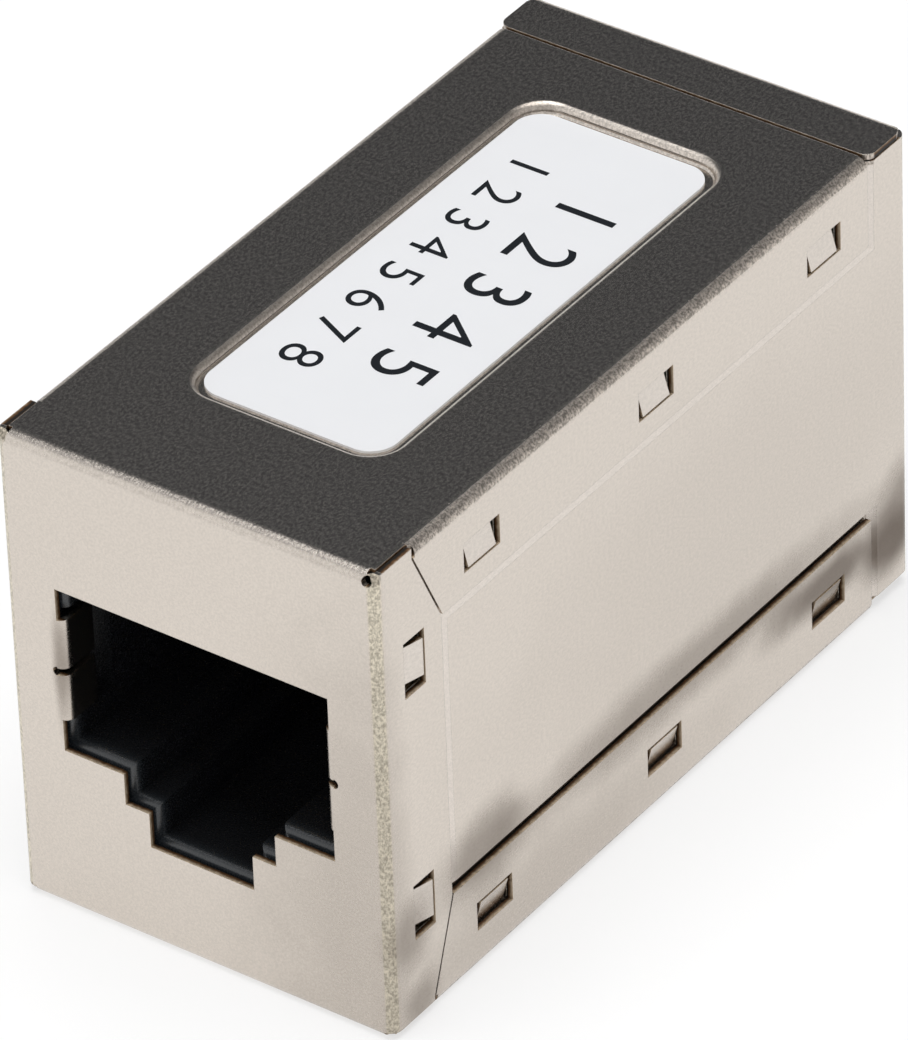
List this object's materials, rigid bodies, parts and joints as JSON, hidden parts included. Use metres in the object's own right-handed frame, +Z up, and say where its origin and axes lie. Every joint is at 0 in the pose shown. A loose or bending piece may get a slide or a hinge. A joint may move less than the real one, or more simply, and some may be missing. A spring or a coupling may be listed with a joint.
{
  "type": "shielded inline modular coupler",
  "caption": "Small shielded metal box with a modular network socket at each end, joining two patch cords in line.",
  "frame": {"origin": "centre of the bottom face, on the plane that the part rests on", "axes": "+Z up through the label face; +Y along the box, from the front socket to the rear socket; the front socket opens towards -Y"},
  "size_m": [0.0166, 0.0336, 0.0206],
  "materials": {
    "shield_plate": "nickel-plated sheet, satin",
    "label_film": "matt white polyester label",
    "insulator": "amber insulating film",
    "board": "green solder mask",
    "moulding": "black moulded thermoplastic",
    "contact_wire": "gold-plated spring wire"
  },
  "bodies": {
    "root": {"front_shield": "shield_plate", "rear_shield": "shield_plate", "label": "label_film", "insulator_film": "insulator", "circuit_board": "board", "front_jack_body": "moulding", "rear_jack_body": "moulding", "front_contact_carrier": "moulding", "rear_contact_carrier": "moulding", "front_contact_1": "contact_wire", "front_contact_2": "contact_wire", "front_contact_3": "contact_wire", "front_contact_4": "contact_wire", "front_contact_5": "contact_wire", "front_contact_6": "contact_wire", "front_contact_7": "contact_wire", "front_contact_8": "contact_wire", "rear_contact_1": "contact_wire", "rear_contact_2": "contact_wire", "rear_contact_3": "contact_wire", "rear_contact_4": "contact_wire", "rear_contact_5": "contact_wire", "rear_contact_6": "contact_wire", "rear_contact_7": "contact_wire", "rear_contact_8": "contact_wire"}
  },
  "joints": []
}
